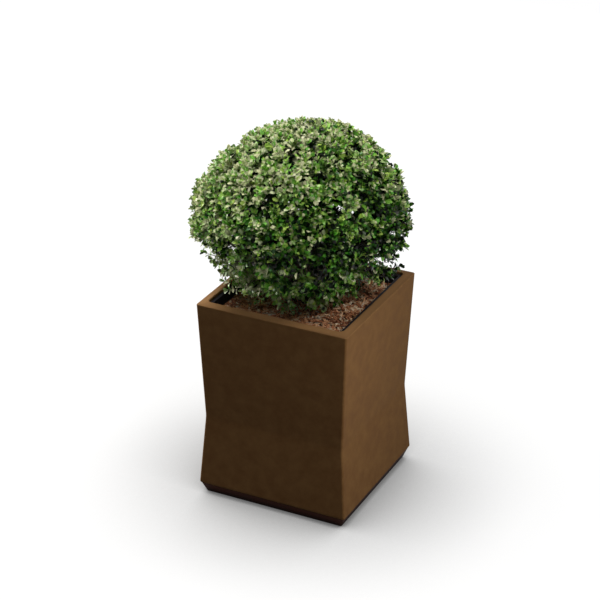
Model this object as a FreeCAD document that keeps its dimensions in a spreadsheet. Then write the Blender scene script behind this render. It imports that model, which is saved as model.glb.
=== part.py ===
# Planted square floor planter. A waisted moulded shell stands on a recessed plinth with levelling
# feet. A grow liner hangs inside its rim and holds soil, bark chips and a clipped round shrub.
# The origin is on the ground under the middle of the shell, +Z is up and -Y is the front.
import FreeCAD, Part
import math
import os
import re
import Sketcher

doc = FreeCAD.newDocument("floor_planter")

# Driving sizes in millimetres
SIZES = {
    # Shell: the rim's outside width, how far each side is drawn in from it at the waist and stands
    # out at the hem, the waist's height above the ground, and the turn under the hem
    "planter_height": 818,
    "rim_width": 616,
    "waist_draw": 19.5,
    "waist_height": 334,
    "hem_flare": 1,
    "hem_turn": 6,
    "hem_turn_height": 8,
    "corner_radius": 8,
    "shell_wall": 6,
    # Rim: the band round the mouth, its level strip, how far the rest of it falls to the outside
    # to shed water, its rounded edges, and the ledge that carries the liner
    "rim_band": 32,
    "rim_flat": 5,
    "rim_fall": 6,
    "mouth_corner_radius": 18,
    "rim_round": 3,
    "mouth_round": 2.5,
    "ledge_drop": 14,
    "ledge_width": 10,
    # Plinth: a ring with a flange on top, corner blocks for the feet and a lift off the ground
    "foot_clearance": 3,
    "plinth_setback": 20,
    "plinth_height": 41,
    "plinth_wall": 8,
    "plinth_ring": 37,
    "plinth_corner_radius": 10,
    "plinth_flange": 5,
    "block_side": 56,
    "foot_inset": 34,
    # Levelling foot: pad, its recess in the block, and the threaded stud
    "pad_radius": 19,
    "pad_edge": 2,
    "pad_sole": 4,
    "recess_radius": 22,
    "recess_depth": 7,
    "head_pocket_radius": 7.8,
    "stud_radius": 4,
    "stud_head_across": 13,
    "stud_head_height": 5,
    "stud_tip": 0.8,
    "insert_radius": 6,
    "running_gap": 0.05,
    "stop_gap": 0.3,
    # Screws that hold the plinth, and the bosses that they cut into
    "screw_spacing": 300,
    "screw_radius": 2.5,
    "screw_hole_radius": 2.8,
    "screw_head_radius": 4.8,
    "screw_head_height": 3,
    "screw_recess_radius": 1.5,
    "screw_recess_depth": 1.8,
    "screw_grip": 12,
    "boss_radius": 8,
    "boss_height": 12,
    # Drain: a flanged bushing clamped through the shell's floor, and its plug
    "drain_bore_radius": 10,
    "drain_sleeve_radius": 16,
    "drain_flange_radius": 24,
    "drain_flange_height": 4,
    "drain_tail": 15,
    "drain_hole_gap": 0.5,
    "gasket_height": 2,
    "gasket_gap": 0.3,
    "locknut_across": 44,
    "locknut_height": 8,
    "plug_gap": 0.08,
    "plug_length": 22,
    "plug_head_radius": 15,
    "plug_head_height": 4,
    "plug_stem_radius": 4,
    "plug_stem_height": 8,
    "plug_grip_radius": 9,
    "plug_grip_height": 4,
    # Liner: a tapered square pot with a flange, hung on the ledge
    "liner_gap": 2,
    "liner_wall": 4,
    "liner_depth": 420,
    "liner_taper": 25,
    "liner_corner_radius": 10,
    "liner_drain_radius": 5,
    "liner_drain_circle": 150,
    # Planting: fleece, soil, root ball and bark chips
    "fill_gap": 0.5,
    "fleece_height": 2,
    "mulch_drop": 37,
    "mulch_height": 32,
    "collar_radius": 62,
    "root_ball_radius": 140,
    "root_ball_depth": 240,
    # Shrub: stems that fan out from the collar, and the clipped crown of leaves
    "stem_radius": 7,
    "stem_tip_radius": 3,
    "stem_circle": 36,
    "crown_width": 856,
    "crown_height": 620,
    "crown_lift": 30,
    # How far a cut runs past the faces that it opens
    "cut_overrun": 2,
}

# Widths and heights above the ground that follow from them and that several pieces share
DERIVED = {
    "waist_width": "rim_width - 2 * waist_draw",
    "hem_width": "rim_width + 2 * hem_flare",
    "mouth_width": "rim_width - 2 * rim_band",
    "rim_edge": "planter_height - rim_fall",
    "under_rim": "planter_height - shell_wall",
    "ledge_top": "planter_height - ledge_drop",
    "floor_bottom": "foot_clearance + plinth_height",
    "floor_top": "floor_bottom + shell_wall",
    "plinth_width": "hem_width - 2 * plinth_setback",
    "plinth_opening": "plinth_width - 2 * plinth_ring",
    "foot_offset": "plinth_width / 2 - foot_inset",
    "flange_bottom": "floor_bottom - plinth_flange",
    "screw_line": "(plinth_opening / 2 + plinth_width / 2 - plinth_wall) / 2",
    "pad_height": "foot_clearance + recess_depth - stop_gap",
    "stud_head_top": "pad_sole + stud_head_height",
    "stud_top": "floor_bottom - stop_gap",
    "drain_flange_under": "floor_top + gasket_height",
    "bushing_top": "drain_flange_under + drain_flange_height",
    "plug_stem_foot": "bushing_top + plug_head_height",
    "plug_grip_foot": "plug_stem_foot + plug_stem_height",
    "liner_bottom": "ledge_top - liner_depth",
    "liner_floor": "liner_bottom + liner_wall",
    "liner_top": "ledge_top + liner_wall",
    "liner_top_width": "mouth_width - 2 * ledge_width - 2 * liner_gap",
    "liner_bottom_width": "liner_top_width - 2 * liner_taper",
    "fleece_top": "liner_floor + fleece_height",
    "mulch_top": "planter_height - mulch_drop",
    "soil_top": "mulch_top - mulch_height",
    "crown_bottom": "planter_height + crown_lift",
}

# Counts
HEM_STEPS = 3
LINER_DRAINS = 8
STEMS = 8
STEM_JOINTS = 6
CROWN_RINGS = 12
CROWN_SIDES = 28

# Shares of the crown's size, and the power by which the stems lean out more as they rise
STEM_SPREAD_SHARE = 0.52
STEM_TOP_SHARE = 0.62
STEM_LEAN_POWER = 1.6
CROWN_TAPER_SHARE = 0.1
CROWN_LUMP_SHARE = 0.022

sheet = doc.addObject("Spreadsheet::Sheet", "sizes")
for row, (word, number) in enumerate(SIZES.items(), start=1):
    sheet.set(f"A{row}", word)
    sheet.set(f"B{row}", str(number))
    sheet.setAlias(f"B{row}", word)
doc.recompute()

nodes = []


def meaning(word):
    """A size name as the sheet knows it, with a derived one written out."""
    return f"({formula(DERIVED[word])})" if word in DERIVED else f"sizes.{word}"


def formula(words):
    """Write a sum of size names as the sheet's expression."""
    return re.sub(r"[a-z_]+", lambda found: meaning(found.group(0)), words)


def size(words):
    """The value in millimetres of a sum of size names."""
    numbers = re.sub(r"sizes\.([a-z_]+)", lambda found: str(sheet.get(found.group(1))), formula(words))
    return float(FreeCAD.Units.parseQuantity(f"({numbers}) * 1 mm").Value)


def new_body(label):
    body = doc.addObject("PartDesign::Body", label)
    body.Label = label
    nodes.append(body)
    return body


def origin_part(body, role):
    return next(item for item in body.Origin.OriginFeatures if item.Role == role)


def sketch_on(body, name, role="XY_Plane", level="0"):
    """A sketch on one of the body's origin planes, moved along the plane's normal."""
    sketch = body.newObject("Sketcher::SketchObject", name)
    sketch.AttachmentSupport = (origin_part(body, role), [""])
    sketch.MapMode = "FlatFace"
    sketch.setExpression("AttachmentOffset.Base.z", formula(level))
    return sketch


def limit(sketch, kind, name, words, *places):
    """One dimension of a sketch, bound to the sheet."""
    index = sketch.addConstraint(Sketcher.Constraint(kind, *places, size(words)))
    sketch.renameConstraint(index, name)
    sketch.setExpression(f"Constraints.{name}", formula(words))


def rounded_square(sketch, name, side, corner):
    """A closed square with rounded corners, centred on the sketch's origin."""
    half = size(side) / 2
    radius = size(corner)
    flat = half - radius
    first = sketch.GeometryCount
    up = FreeCAD.Vector(0, 0, 1)
    for turn in range(4):
        quarter = FreeCAD.Rotation(up, 90 * turn)
        start = quarter.multVec(FreeCAD.Vector(-flat, -half, 0))
        end = quarter.multVec(FreeCAD.Vector(flat, -half, 0))
        centre = quarter.multVec(FreeCAD.Vector(flat, -flat, 0))
        begin = math.radians(90 * turn - 90)
        sketch.addGeometry(Part.LineSegment(start, end))
        circle = Part.Circle(centre, up, radius)
        sketch.addGeometry(Part.ArcOfCircle(circle, begin, begin + math.pi / 2))
    for piece in range(8):
        follower = first + (piece + 1) % 8
        sketch.addConstraint(Sketcher.Constraint("Tangent", first + piece, 2, follower, 1))
    for piece, kind in ((0, "Horizontal"), (2, "Vertical"), (4, "Horizontal"), (6, "Vertical")):
        sketch.addConstraint(Sketcher.Constraint(kind, first + piece))
    for piece in (3, 5, 7):
        sketch.addConstraint(Sketcher.Constraint("Equal", first + 1, first + piece))
    opposite = (first + 1, 3, first + 5, 3, -1, 1)
    sketch.addConstraint(Sketcher.Constraint("Symmetric", *opposite))
    limit(sketch, "DistanceX", f"{name}_width", side, first + 6, 1, first + 2, 1)
    limit(sketch, "DistanceY", f"{name}_depth", side, first, 1, first + 4, 1)
    limit(sketch, "Radius", f"{name}_corner", corner, first + 1)


def disc(sketch, name, radius, across="0", along="0"):
    """A circle whose centre lies at (across, along) from the sketch's origin."""
    index = sketch.GeometryCount
    centre = FreeCAD.Vector(size(across), size(along), 0)
    sketch.addGeometry(Part.Circle(centre, FreeCAD.Vector(0, 0, 1), size(radius)))
    limit(sketch, "Radius", f"{name}_radius", radius, index)
    for kind, part, words in (("DistanceX", "across", across), ("DistanceY", "along", along)):
        if words == "0":
            axis = -2 if kind == "DistanceX" else -1
            sketch.addConstraint(Sketcher.Constraint("PointOnObject", index, 3, axis))
        else:
            limit(sketch, kind, f"{name}_{part}", words, -1, 1, index, 3)


def outline(sketch, corners):
    """A closed outline of straight lines through corners given as (across, up)."""
    points = [FreeCAD.Vector(size(across), size(up), 0) for across, up in corners]
    count = len(points)
    for index in range(count):
        sketch.addGeometry(Part.LineSegment(points[index], points[(index + 1) % count]))
    for index in range(count):
        follower = (index + 1) % count
        sketch.addConstraint(Sketcher.Constraint("Coincident", index, 2, follower, 1))
    for index, (across, up) in enumerate(corners):
        if across == "0":
            sketch.addConstraint(Sketcher.Constraint("PointOnObject", index, 1, -2))
        else:
            limit(sketch, "DistanceX", f"across_{index}", across, -1, 1, index, 1)
        limit(sketch, "DistanceY", f"up_{index}", up, -1, 1, index, 1)


def hexagon(sketch, across_flats):
    """A hexagon centred on the origin, with two corners on the sketch's X axis."""
    reach = size(across_flats) / math.sqrt(3)
    turns = [math.radians(60 * step) for step in range(6)]
    points = [FreeCAD.Vector(reach * math.cos(a), reach * math.sin(a), 0) for a in turns]
    for index in range(6):
        sketch.addGeometry(Part.LineSegment(points[index], points[(index + 1) % 6]))
    guide = sketch.addGeometry(Part.Circle(FreeCAD.Vector(), FreeCAD.Vector(0, 0, 1), reach), True)
    for index in range(6):
        sketch.addConstraint(Sketcher.Constraint("Coincident", index, 2, (index + 1) % 6, 1))
        sketch.addConstraint(Sketcher.Constraint("PointOnObject", index, 1, guide))
    for index in range(5):
        sketch.addConstraint(Sketcher.Constraint("Equal", index, index + 1))
    sketch.addConstraint(Sketcher.Constraint("Coincident", guide, 3, -1, 1))
    sketch.addConstraint(Sketcher.Constraint("PointOnObject", 0, 1, -1))
    limit(sketch, "DistanceY", "flats", across_flats, 5, 1, 1, 1)


def pad(body, name, sketch, length, down=False):
    made = body.newObject("PartDesign::Pad", name)
    made.Profile = sketch
    made.Reversed = down
    made.setExpression("Length", formula(length))
    doc.recompute()
    return made


def pocket(body, name, sketch, depth, upward=False):
    """Cut a sketch's region out of the body, down from it or upward, and see that it cuts."""
    before = body.Shape.Volume
    made = body.newObject("PartDesign::Pocket", name)
    made.Profile = sketch
    made.Reversed = upward
    made.setExpression("Length", formula(depth))
    doc.recompute()
    if not body.Shape.Volume < before:
        raise RuntimeError(f"{body.Label}: {name} cuts nothing")
    return made


def turned(body, name, corners):
    """A piece turned about the body's Z axis from an outline of (radius, height) corners."""
    sketch = sketch_on(body, f"{name}_outline", "XZ_Plane")
    outline(sketch, corners)
    made = body.newObject("PartDesign::Revolution", name)
    made.Profile = sketch
    made.ReferenceAxis = (sketch, ["V_Axis"])
    made.Angle = 360
    doc.recompute()
    return made


def loft(body, name, sketches, hollow=False):
    before = body.Shape.Volume if hollow else 0
    kind = "PartDesign::SubtractiveLoft" if hollow else "PartDesign::AdditiveLoft"
    made = body.newObject(kind, name)
    made.Profile = sketches[0]
    made.Sections = [(sketch, [""]) for sketch in sketches[1:]]
    made.Ruled = True
    doc.recompute()
    if hollow and not body.Shape.Volume < before:
        raise RuntimeError(f"{body.Label}: {name} cuts nothing")
    return made


def around(body, name, features, count):
    """Repeat features round the body's Z axis."""
    made = body.newObject("PartDesign::PolarPattern", name)
    made.Originals = features
    made.Axis = (origin_part(body, "Z_Axis"), [""])
    made.Angle = 360
    made.Occurrences = count
    body.Tip = made
    doc.recompute()
    return made


def level_edges(shape, height, reach):
    """Names of the edges that lie flat at a height, about this far from the middle."""
    near = size("rim_flat / 2")
    names = []
    for index, edge in enumerate(shape.Edges, start=1):
        box = edge.BoundBox
        far = max(abs(box.XMin), abs(box.XMax), abs(box.YMin), abs(box.YMax))
        flat = abs(box.ZMin - height) + abs(box.ZMax - height) < size("fill_gap")
        if flat and abs(far - reach) < near:
            names.append(f"Edge{index}")
    return names


def rounded(body, name, base, edges, radius):
    made = body.newObject("PartDesign::Fillet", name)
    made.Base = (base, edges)
    made.setExpression("Radius", formula(radius))
    doc.recompute()
    return made


def in_code(label, shape):
    """A piece whose shape comes from a formula, at the part's origin."""
    piece = doc.addObject("Part::Feature", label)
    piece.Label = label
    piece.Shape = shape
    piece.Placement = FreeCAD.Placement()
    nodes.append(piece)
    return piece


def square_section(body, name, level, side, corner):
    sketch = sketch_on(body, name, level=level)
    rounded_square(sketch, name, side, corner)
    return sketch


# Outer shell
def outer_shell():
    body = new_body("outer_shell")
    sections = []
    for step in range(HEM_STEPS):
        turn = math.radians(90 * step / HEM_STEPS)
        inset = f"hem_turn * {1 - math.sin(turn):.6f}"
        rise = f"hem_turn_height * {1 - math.cos(turn):.6f}"
        side = f"hem_width - 2 * {inset}"
        corner = f"corner_radius - {inset} / 2"
        sections.append(square_section(body, f"hem_{step}", f"floor_bottom + {rise}", side, corner))
    hem_top = "floor_bottom + hem_turn_height"
    sections.append(square_section(body, "hem", hem_top, "hem_width", "corner_radius"))
    sections.append(square_section(body, "waist", "waist_height", "waist_width", "corner_radius"))
    sections.append(square_section(body, "rim_edge", "rim_edge", "rim_width", "corner_radius"))
    strip_corner = "mouth_corner_radius + rim_flat"
    sections.append(square_section(body, "rim", "planter_height", "mouth_width + 2 * rim_flat", strip_corner))
    loft(body, "shell_outside", sections)

    inner_corner = "corner_radius / 2"
    floor_side = "hem_width - 2 * hem_turn - 2 * shell_wall"
    hollow_mouth = "mouth_width + 2 * shell_wall + 2 * rim_flat"
    hem_side = "hem_width - 2 * shell_wall"
    edge_side = "rim_width - 2 * shell_wall"
    hollows = [
        square_section(body, "hollow_floor", "floor_top", floor_side, inner_corner),
        square_section(body, "hollow_hem", "floor_top + hem_turn_height", hem_side, inner_corner),
        square_section(body, "hollow_waist", "waist_height", "waist_width - 2 * shell_wall", inner_corner),
        square_section(body, "hollow_edge", "rim_edge - shell_wall", edge_side, inner_corner),
        square_section(body, "hollow_rim", "under_rim", hollow_mouth, strip_corner),
    ]
    loft(body, "shell_hollow", hollows, hollow=True)

    mouth = square_section(body, "mouth", "planter_height", "mouth_width", "mouth_corner_radius")
    pocket(body, "mouth_cut", mouth, "shell_wall + cut_overrun")

    return_wall = sketch_on(body, "return_wall", level="under_rim")
    return_corner = "mouth_corner_radius + shell_wall"
    rounded_square(return_wall, "outside", "mouth_width + 2 * shell_wall", return_corner)
    rounded_square(return_wall, "inside", "mouth_width", "mouth_corner_radius")
    pad(body, "rim_return", return_wall, "ledge_drop", down=True)

    ledge = sketch_on(body, "ledge", level="ledge_top")
    rounded_square(ledge, "outside", "mouth_width + 2 * shell_wall", return_corner)
    rounded_square(ledge, "inside", "mouth_width - 2 * ledge_width", "mouth_corner_radius - ledge_width")
    shelf = pad(body, "liner_ledge", ledge, "shell_wall", down=True)

    rim_edges = level_edges(shelf.Shape, size("rim_edge"), size("rim_width / 2"))
    outer_round = rounded(body, "rim_rounding", shelf, rim_edges, "rim_round")
    mouth_edges = level_edges(outer_round.Shape, size("planter_height"), size("mouth_width / 2"))
    rounded(body, "mouth_rounding", outer_round, mouth_edges, "mouth_round")

    drain = sketch_on(body, "drain", level="floor_top")
    disc(drain, "drain", "drain_sleeve_radius + drain_hole_gap")
    pocket(body, "drain_hole", drain, "shell_wall + cut_overrun")

    boss_sketch = sketch_on(body, "boss", level="floor_top")
    pilot_sketch = sketch_on(body, "pilot", level="floor_bottom")
    for side, across in (("left", "0 - screw_spacing / 2"), ("right", "screw_spacing / 2")):
        disc(boss_sketch, side, "boss_radius", across, "0 - screw_line")
        disc(pilot_sketch, side, "screw_radius", across, "0 - screw_line")
    bosses = pad(body, "screw_bosses", boss_sketch, "boss_height")
    pilots = pocket(body, "screw_pilots", pilot_sketch, "screw_grip", upward=True)
    around(body, "bosses_on_all_sides", [bosses, pilots], 4)


# Plinth, its inserts and its screws
def base_plinth():
    body = new_body("base_plinth")
    ring = sketch_on(body, "ring", level="foot_clearance")
    rounded_square(ring, "outside", "plinth_width", "plinth_corner_radius")
    rounded_square(ring, "inside", "plinth_opening", "plinth_corner_radius")
    pad(body, "plinth_ring", ring, "plinth_height")

    relief_corner = "plinth_corner_radius / 2"
    relief = square_section(body, "relief", "foot_clearance", "plinth_width - 2 * plinth_wall", relief_corner)
    pocket(body, "flange_relief", relief, "plinth_height - plinth_flange", upward=True)

    block = sketch_on(body, "block", level="foot_clearance")
    near = "foot_offset - block_side / 2"
    far = "foot_offset + block_side / 2"
    outline(block, ((near, near), (far, near), (far, far), (near, far)))
    blocks = pad(body, "foot_block", block, "plinth_height")

    recess_sketch = sketch_on(body, "recess", level="foot_clearance")
    disc(recess_sketch, "recess", "recess_radius", "foot_offset", "foot_offset")
    recess = pocket(body, "pad_recess", recess_sketch, "recess_depth", upward=True)

    bore_sketch = sketch_on(body, "bore", level="foot_clearance")
    disc(bore_sketch, "bore", "insert_radius", "foot_offset", "foot_offset")
    bore = pocket(body, "insert_bore", bore_sketch, "plinth_height + cut_overrun", upward=True)
    around(body, "feet_at_all_corners", [blocks, recess, bore], 4)

    hole_sketch = sketch_on(body, "holes", level="foot_clearance")
    for side, across in (("left", "0 - screw_spacing / 2"), ("right", "screw_spacing / 2")):
        disc(hole_sketch, side, "screw_hole_radius", across, "0 - screw_line")
    holes = pocket(body, "screw_holes", hole_sketch, "plinth_height + cut_overrun", upward=True)
    around(body, "holes_on_all_sides", [holes], 4)


def foot_inserts():
    body = new_body("foot_inserts")
    tube = sketch_on(body, "tube", level="foot_clearance + recess_depth")
    disc(tube, "outside", "insert_radius", "foot_offset", "foot_offset")
    disc(tube, "inside", "stud_radius + running_gap", "foot_offset", "foot_offset")
    insert = pad(body, "insert", tube, "plinth_height - recess_depth")
    around(body, "inserts_at_all_corners", [insert], 4)


def plinth_screws():
    body = new_body("plinth_screws")
    head_sketch = sketch_on(body, "heads", level="flange_bottom")
    shank_sketch = sketch_on(body, "shanks", level="flange_bottom")
    recess_sketch = sketch_on(body, "recesses", level="flange_bottom - screw_head_height")
    for side, across in (("left", "0 - screw_spacing / 2"), ("right", "screw_spacing / 2")):
        disc(head_sketch, side, "screw_head_radius", across, "0 - screw_line")
        disc(shank_sketch, side, "screw_radius", across, "0 - screw_line")
        disc(recess_sketch, side, "screw_recess_radius", across, "0 - screw_line")
    heads = pad(body, "screw_heads", head_sketch, "screw_head_height", down=True)
    shanks = pad(body, "screw_shanks", shank_sketch, "plinth_flange + screw_grip")
    recesses = pocket(body, "drive_recesses", recess_sketch, "screw_recess_depth", upward=True)
    around(body, "screws_on_all_sides", [heads, shanks, recesses], 4)


# Levelling feet
def levelling_foot(number, across, along):
    """A moulded pad and the hexagon-headed stud that stands in it, under one corner block."""
    foot_pad = new_body(f"foot_pad_{number}")
    corners = (
        ("0", "0"),
        ("pad_radius - pad_edge", "0"),
        ("pad_radius", "pad_edge"),
        ("pad_radius", "pad_height"),
        ("head_pocket_radius", "pad_height"),
        ("head_pocket_radius", "pad_sole"),
        ("0", "pad_sole"),
    )
    turned(foot_pad, "pad", corners)

    stud = new_body(f"foot_stud_{number}")
    head = sketch_on(stud, "head", level="pad_sole")
    hexagon(head, "stud_head_across")
    pad(stud, "stud_head", head, "stud_head_height")
    shank = sketch_on(stud, "shank", level="stud_head_top")
    disc(shank, "shank", "stud_radius")
    thread = pad(stud, "stud_thread", shank, "stud_top - stud_head_top")
    top = size("stud_top")
    tips = [
        f"Edge{index}"
        for index, edge in enumerate(thread.Shape.Edges, start=1)
        if abs(edge.BoundBox.ZMin - top) < size("stop_gap")
    ]
    chamfer = stud.newObject("PartDesign::Chamfer", "stud_tip_chamfer")
    chamfer.Base = (thread, tips)
    chamfer.setExpression("Size", formula("stud_tip"))
    for piece in (foot_pad, stud):
        piece.setExpression("Placement.Base.x", formula(f"foot_offset * {across}"))
        piece.setExpression("Placement.Base.y", formula(f"foot_offset * {along}"))
    doc.recompute()


# Drain in the shell's floor
def drain():
    bushing = new_body("drain_bushing")
    tail = "floor_bottom - drain_tail"
    corners = (
        ("drain_bore_radius", tail),
        ("drain_sleeve_radius", tail),
        ("drain_sleeve_radius", "drain_flange_under"),
        ("drain_flange_radius", "drain_flange_under"),
        ("drain_flange_radius", "bushing_top"),
        ("drain_bore_radius", "bushing_top"),
    )
    turned(bushing, "bushing", corners)

    gasket = new_body("drain_gasket")
    inner = "drain_sleeve_radius + gasket_gap"
    corners = (
        (inner, "floor_top"),
        ("drain_flange_radius", "floor_top"),
        ("drain_flange_radius", "drain_flange_under"),
        (inner, "drain_flange_under"),
    )
    turned(gasket, "gasket", corners)

    locknut = new_body("drain_locknut")
    nut = sketch_on(locknut, "nut", level="floor_bottom")
    hexagon(nut, "locknut_across")
    pad(locknut, "nut_block", nut, "locknut_height", down=True)
    thread = sketch_on(locknut, "thread", level="floor_bottom")
    disc(thread, "thread", "drain_sleeve_radius")
    pocket(locknut, "nut_thread", thread, "locknut_height + cut_overrun")

    plug = new_body("drain_plug")
    shank = "drain_bore_radius - plug_gap"
    corners = (
        ("0", "bushing_top - plug_length"),
        (shank, "bushing_top - plug_length"),
        (shank, "bushing_top"),
        ("plug_head_radius", "bushing_top"),
        ("plug_head_radius", "plug_stem_foot"),
        ("plug_stem_radius", "plug_stem_foot"),
        ("plug_stem_radius", "plug_grip_foot"),
        ("plug_grip_radius", "plug_grip_foot"),
        ("plug_grip_radius", "plug_grip_foot + plug_grip_height"),
        ("0", "plug_grip_foot + plug_grip_height"),
    )
    turned(plug, "plug", corners)


# Liner and what fills it
def liner_inside(level):
    """The liner's inside width at a height, along its straight taper."""
    growth = "(liner_top_width - liner_bottom_width) / liner_depth"
    return f"(liner_bottom_width - 2 * liner_wall + {growth} * ({level} - liner_bottom))"


def filling(body, name, bottom, top):
    """A block that fills the liner between two heights, just clear of its walls."""
    corner = "liner_corner_radius - liner_wall"
    low = square_section(body, f"{name}_low", bottom, f"{liner_inside(bottom)} - 2 * fill_gap", corner)
    high = square_section(body, f"{name}_high", top, f"{liner_inside(top)} - 2 * fill_gap", corner)
    loft(body, name, [low, high])


def liner():
    body = new_body("liner")
    low = square_section(body, "outside_low", "liner_bottom", "liner_bottom_width", "liner_corner_radius")
    high = square_section(body, "outside_high", "ledge_top", "liner_top_width", "liner_corner_radius")
    loft(body, "liner_outside", [low, high])
    flange_side = "mouth_width - 2 * liner_gap"
    flange_corner = "mouth_corner_radius - liner_gap"
    flange = square_section(body, "flange", "ledge_top", flange_side, flange_corner)
    pad(body, "liner_flange", flange, "liner_wall")
    corner = "liner_corner_radius - liner_wall"
    hollow_low = square_section(body, "hollow_low", "liner_floor", liner_inside("liner_floor"), corner)
    hollow_high = square_section(body, "hollow_high", "liner_top", liner_inside("liner_top"), corner)
    loft(body, "liner_hollow", [hollow_low, hollow_high], hollow=True)
    middle = sketch_on(body, "middle_drain", level="liner_floor")
    disc(middle, "hole", "liner_drain_radius")
    pocket(body, "middle_hole", middle, "liner_wall + cut_overrun")
    outer = sketch_on(body, "outer_drain", level="liner_floor")
    disc(outer, "hole", "liner_drain_radius", "liner_drain_circle")
    hole = pocket(body, "outer_hole", outer, "liner_wall + cut_overrun")
    around(body, "drain_ring", [hole], LINER_DRAINS)


def planting():
    filling(new_body("liner_fleece"), "fleece", "liner_floor", "fleece_top")

    soil = new_body("soil")
    filling(soil, "soil_block", "fleece_top", "soil_top")
    root_hole = sketch_on(soil, "root_hole", level="soil_top")
    disc(root_hole, "root_hole", "root_ball_radius + fill_gap")
    pocket(soil, "root_pocket", root_hole, "root_ball_depth")

    root_ball = new_body("root_ball")
    root_sketch = sketch_on(root_ball, "roots", level="soil_top")
    disc(root_sketch, "roots", "root_ball_radius")
    pad(root_ball, "root_block", root_sketch, "root_ball_depth", down=True)

    mulch = new_body("mulch")
    filling(mulch, "mulch_bed", "soil_top", "mulch_top")
    collar = sketch_on(mulch, "collar", level="mulch_top")
    disc(collar, "collar", "collar_radius")
    pocket(mulch, "collar_hole", collar, "mulch_height + cut_overrun")


# Shrub
def stem(start, end, thick, thin):
    """A bent stem through round sections that leave the ground upright and lean outwards."""
    rings = []
    for step in range(STEM_JOINTS + 1):
        along = step / STEM_JOINTS
        lean = along**STEM_LEAN_POWER
        x = start.x + (end.x - start.x) * lean
        y = start.y + (end.y - start.y) * lean
        z = start.z + (end.z - start.z) * along
        radius = thick + (thin - thick) * along
        circle = Part.Circle(FreeCAD.Vector(x, y, z), FreeCAD.Vector(0, 0, 1), radius)
        rings.append(Part.Wire([circle.toShape()]))
    return Part.makeLoft(rings, True, True)


def shrub_stems():
    base = size("soil_top")
    top = size("crown_bottom") + size("crown_height") * STEM_TOP_SHARE
    spread = size("crown_width") / 2 * STEM_SPREAD_SHARE
    stems = []
    for index in range(STEMS):
        turn = 2 * math.pi * index / (STEMS - 1)
        outward = 0 if index == STEMS - 1 else 1
        foot = size("stem_circle") * outward
        reach = spread * outward
        start = FreeCAD.Vector(foot * math.cos(turn), foot * math.sin(turn), base)
        end = FreeCAD.Vector(reach * math.cos(turn), reach * math.sin(turn), top)
        stems.append(stem(start, end, size("stem_radius"), size("stem_tip_radius")))
    in_code("shrub_stems", Part.makeCompound(stems))


def crown_point(turn, rise, middle):
    """A point of the crown's skin: an egg with its wide end down and low clipped lumps."""
    lumps = math.sin(3 * turn + 1) * math.cos(2 * rise) + math.sin(5 * turn) * math.sin(3 * rise) / 2
    swell = 1 - CROWN_LUMP_SHARE * lumps * math.cos(rise)
    taper = 1 - CROWN_TAPER_SHARE * math.sin(rise)
    reach = size("crown_width") / 2 * math.cos(rise) * swell * taper
    height = middle + size("crown_height") / 2 * math.sin(rise)
    return FreeCAD.Vector(reach * math.cos(turn), reach * math.sin(turn), height)


def foliage_crown():
    middle = size("crown_bottom") + size("crown_height") / 2
    rises = [math.pi * (ring / CROWN_RINGS - 0.5) for ring in range(1, CROWN_RINGS)]
    turns = [2 * math.pi * side / CROWN_SIDES for side in range(CROWN_SIDES)]
    rings = [[crown_point(turn, rise, middle) for turn in turns] for rise in rises]
    foot = crown_point(0, -math.pi / 2, middle)
    tip = crown_point(0, math.pi / 2, middle)
    corners = []
    for side in range(CROWN_SIDES):
        follower = (side + 1) % CROWN_SIDES
        corners.append((foot, rings[0][follower], rings[0][side]))
        corners.append((tip, rings[-1][side], rings[-1][follower]))
        for low, high in zip(rings, rings[1:]):
            corners.append((low[side], low[follower], high[follower]))
            corners.append((low[side], high[follower], high[side]))
    faces = [Part.Face(Part.makePolygon([a, b, c, a])) for a, b, c in corners]
    in_code("foliage_crown", Part.Solid(Part.Shell(faces)))


outer_shell()
base_plinth()
foot_inserts()
plinth_screws()
levelling_foot(1, 1, -1)
levelling_foot(2, 1, 1)
levelling_foot(3, -1, 1)
levelling_foot(4, -1, -1)
drain()
liner()
planting()
shrub_stems()
foliage_crown()
doc.recompute()

for item in doc.Objects:
    if "Invalid" in item.State or "Error" in item.State:
        raise RuntimeError(f"{item.Label} failed: {item.State}")
for node in nodes:
    if node.Shape.isNull() or not node.Shape.isValid() or not node.Shape.Solids:
        raise RuntimeError(f"{node.Label} has no valid solid")

os.makedirs("parts", exist_ok=True)
for node in nodes:
    node.Shape.exportStep(f"parts/{node.Label}.step")
    print(f"{node.Label}: {len(node.Shape.Solids)} solids, {node.Shape.Volume / 1000:.1f} cm3")
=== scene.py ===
import math
import random

import bmesh
import bpy
from mathutils import Matrix, Vector, noise


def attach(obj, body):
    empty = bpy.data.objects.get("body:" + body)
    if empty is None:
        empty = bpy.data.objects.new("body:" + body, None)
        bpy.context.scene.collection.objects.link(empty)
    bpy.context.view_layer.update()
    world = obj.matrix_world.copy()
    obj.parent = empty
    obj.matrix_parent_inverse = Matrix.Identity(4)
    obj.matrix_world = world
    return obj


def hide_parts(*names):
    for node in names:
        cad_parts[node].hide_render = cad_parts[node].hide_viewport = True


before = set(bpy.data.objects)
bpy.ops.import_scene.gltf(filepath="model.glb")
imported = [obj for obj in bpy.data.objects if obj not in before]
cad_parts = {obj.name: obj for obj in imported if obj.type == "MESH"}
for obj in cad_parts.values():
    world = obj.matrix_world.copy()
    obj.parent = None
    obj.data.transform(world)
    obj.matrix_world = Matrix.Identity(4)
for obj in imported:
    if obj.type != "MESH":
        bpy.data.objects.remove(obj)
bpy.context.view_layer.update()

MM = 0.001
random.seed(4)
noise.seed_set(4)

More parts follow.
